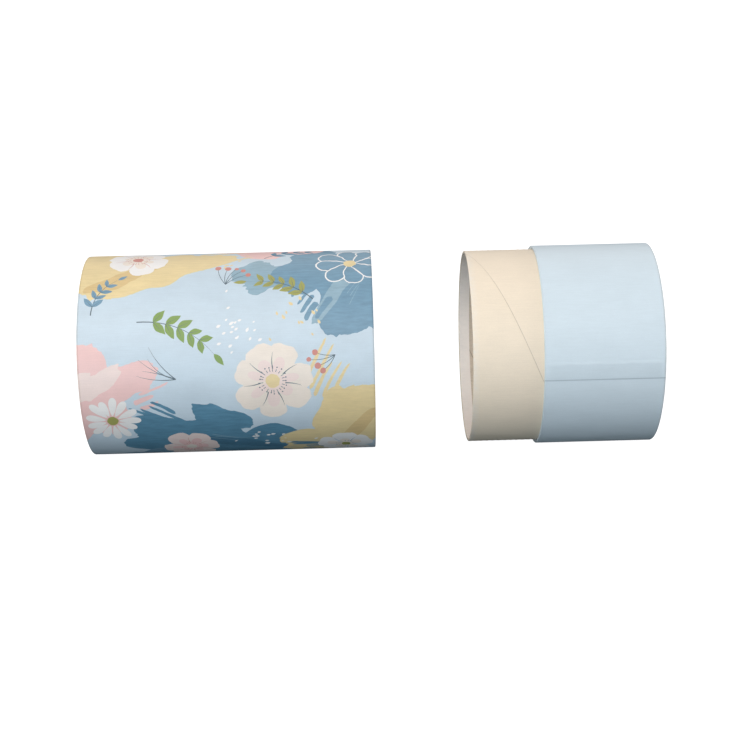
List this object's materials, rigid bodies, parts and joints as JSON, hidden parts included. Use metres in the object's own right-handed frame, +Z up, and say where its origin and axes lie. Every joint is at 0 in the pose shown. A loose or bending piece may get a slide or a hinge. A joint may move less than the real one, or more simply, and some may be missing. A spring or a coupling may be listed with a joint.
{
  "type": "cylindrical gift tube box",
  "caption": "Round cardboard tube box lying on its side: a short base with a glued-in neck and a long printed slip-on lid, drawn off along its axis.",
  "frame": {"origin": "on the floor under the middle of the row, where the row is the drawn-off lid and the base lying in line", "axes": "+X runs along the tube's axis from the lid towards the base's closed end, +Z is up from the floor it lies on, and -Y faces the viewer of the picture"},
  "size_m": [0.2812, 0.1, 0.1],
  "materials": {
    "printed_paper": "matt laminated paper with a printed pattern, pale blue ground",
    "blue_paper": "matt laminated paper, plain pale blue",
    "cream_paper": "matt uncoated paper, cream",
    "lining_paper": "uncoated grey-brown lining paper",
    "wound_board": "raw grey-brown wound board"
  },
  "bodies": {
    "base": {"base_board_tube": "wound_board", "base_blue_wrap": "blue_paper", "base_inner_liner": "lining_paper", "base_bottom_disc": "wound_board", "base_foot_card": "blue_paper", "base_floor_lining": "lining_paper", "neck_board_tube": "wound_board", "neck_cream_wrap": "cream_paper", "neck_inner_liner": "lining_paper"},
    "lid": {"lid_board_tube": "wound_board", "lid_printed_wrap": "printed_paper", "lid_inner_liner": "lining_paper", "lid_end_disc": "wound_board", "lid_end_card": "blue_paper", "lid_end_lining": "lining_paper"}
  },
  "joints": [
    {"name": "lid_slide", "type": "slide", "parent": "base", "child": "lid", "axis": [1, 0, 0], "range_m": [-0.06, 0.081]}
  ]
}
